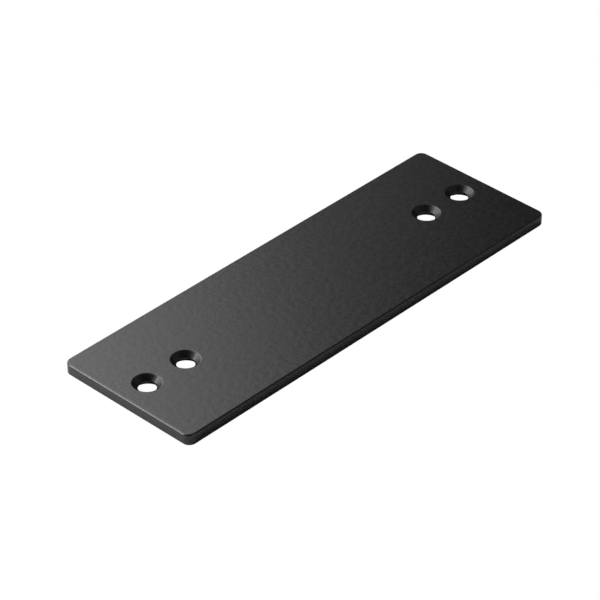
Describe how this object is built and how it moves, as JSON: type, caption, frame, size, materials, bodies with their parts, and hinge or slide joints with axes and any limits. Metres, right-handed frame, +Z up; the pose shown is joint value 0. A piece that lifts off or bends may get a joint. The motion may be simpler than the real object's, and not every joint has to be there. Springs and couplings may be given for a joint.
{
  "type": "track connector plate",
  "caption": "Flat black rectangular joining plate with a pair of countersunk screw holes near each end, for joining the ends of two tracks.",
  "frame": {"origin": "centre of the plate's underside", "axes": "+X along the plate's length, +Y across it toward the side that the row of holes lies nearer to, +Z up, through its thickness"},
  "size_m": [0.12, 0.04, 0.003],
  "materials": {
    "black_coating": "satin black powder coat with a fine grain"
  },
  "bodies": {
    "root": {"connector_plate": "black_coating"}
  },
  "joints": []
}
